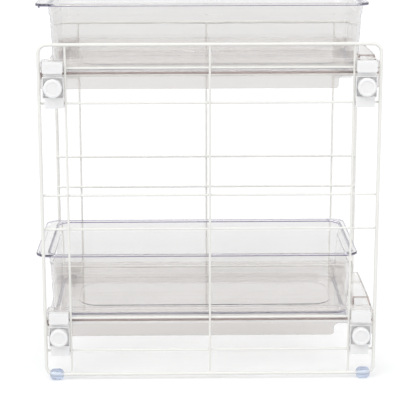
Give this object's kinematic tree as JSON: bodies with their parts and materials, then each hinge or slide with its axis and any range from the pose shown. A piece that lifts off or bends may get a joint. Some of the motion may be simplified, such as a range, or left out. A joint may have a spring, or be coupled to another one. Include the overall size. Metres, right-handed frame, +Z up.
{
  "type": "under sink organizer",
  "caption": "Two-tier under sink organizer: clear bins that slide on clear shelves, clamped with thumb knobs between two free-standing white wire side frames on soft feet.",
  "frame": {"origin": "centre of the footprint, on the surface that the organizer stands on", "axes": "+Z up; -Y is the front, the way the bins are pulled out; +X is the right side frame"},
  "size_m": [0.257, 0.4134, 0.4504],
  "materials": {
    "white_wire": "smooth satin cream-white coating",
    "clear_shelf": "clear and glossy",
    "clear_bin": "clear and glossy",
    "white_plastic": "smooth, lightly glossy",
    "steel": "plain turned steel",
    "foot_rubber": "soft, clear and bluish"
  },
  "bodies": {
    "organizer": {"right_frame_loop": "white_wire", "right_frame_uprights": "white_wire", "right_frame_cross_wires": "white_wire", "left_frame_loop": "white_wire", "left_frame_uprights": "white_wire", "left_frame_cross_wires": "white_wire", "upper_shelf": "clear_shelf", "lower_shelf": "clear_shelf", "clamp_upper_front_right": "white_plastic", "clamp_upper_front_left": "white_plastic", "clamp_upper_rear_right": "white_plastic", "clamp_upper_rear_left": "white_plastic", "clamp_lower_front_right": "white_plastic", "clamp_lower_front_left": "white_plastic", "clamp_lower_rear_right": "white_plastic", "clamp_lower_rear_left": "white_plastic", "foot_front_right": "foot_rubber", "foot_front_left": "foot_rubber", "foot_rear_right": "foot_rubber", "foot_rear_left": "foot_rubber"},
    "upper_bin": {"upper_bin": "clear_bin"},
    "lower_bin": {"lower_bin": "clear_bin"},
    "knob_upper_front_right": {"knob_upper_front_right": "white_plastic", "stud_upper_front_right": "steel"},
    "knob_upper_front_left": {"knob_upper_front_left": "white_plastic", "stud_upper_front_left": "steel"},
    "knob_upper_rear_right": {"knob_upper_rear_right": "white_plastic", "stud_upper_rear_right": "steel"},
    "knob_upper_rear_left": {"knob_upper_rear_left": "white_plastic", "stud_upper_rear_left": "steel"},
    "knob_lower_front_right": {"knob_lower_front_right": "white_plastic", "stud_lower_front_right": "steel"},
    "knob_lower_front_left": {"knob_lower_front_left": "white_plastic", "stud_lower_front_left": "steel"},
    "knob_lower_rear_right": {"knob_lower_rear_right": "white_plastic", "stud_lower_rear_right": "steel"},
    "knob_lower_rear_left": {"knob_lower_rear_left": "white_plastic", "stud_lower_rear_left": "steel"}
  },
  "joints": [
    {"name": "upper_bin_slide", "type": "slide", "parent": "organizer", "child": "upper_bin", "axis": [0, -1, 0], "range_m": [-0.0017, 0.18]},
    {"name": "lower_bin_slide", "type": "slide", "parent": "organizer", "child": "lower_bin", "axis": [0, -1, 0], "range_m": [-0.0087, 0.18]},
    {"name": "knob_upper_front_right_turn", "type": "hinge", "parent": "organizer", "child": "knob_upper_front_right", "pos_m": [0.117, -0.17717, 0.3571], "axis": [1, 0, 0], "continuous": true},
    {"name": "knob_upper_front_left_turn", "type": "hinge", "parent": "organizer", "child": "knob_upper_front_left", "pos_m": [-0.117, -0.17717, 0.3571], "axis": [-1, 0, 0], "continuous": true},
    {"name": "knob_upper_rear_right_turn", "type": "hinge", "parent": "organizer", "child": "knob_upper_rear_right", "pos_m": [0.117, 0.18563, 0.3571], "axis": [1, 0, 0], "continuous": true},
    {"name": "knob_upper_rear_left_turn", "type": "hinge", "parent": "organizer", "child": "knob_upper_rear_left", "pos_m": [-0.117, 0.18563, 0.3571], "axis": [-1, 0, 0], "continuous": true},
    {"name": "knob_lower_front_right_turn", "type": "hinge", "parent": "organizer", "child": "knob_lower_front_right", "pos_m": [0.117, -0.17717, 0.0551], "axis": [1, 0, 0], "continuous": true},
    {"name": "knob_lower_front_left_turn", "type": "hinge", "parent": "organizer", "child": "knob_lower_front_left", "pos_m": [-0.117, -0.17717, 0.0551], "axis": [-1, 0, 0], "continuous": true},
    {"name": "knob_lower_rear_right_turn", "type": "hinge", "parent": "organizer", "child": "knob_lower_rear_right", "pos_m": [0.117, 0.18563, 0.0551], "axis": [1, 0, 0], "continuous": true},
    {"name": "knob_lower_rear_left_turn", "type": "hinge", "parent": "organizer", "child": "knob_lower_rear_left", "pos_m": [-0.117, 0.18563, 0.0551], "axis": [-1, 0, 0], "continuous": true}
  ]
}
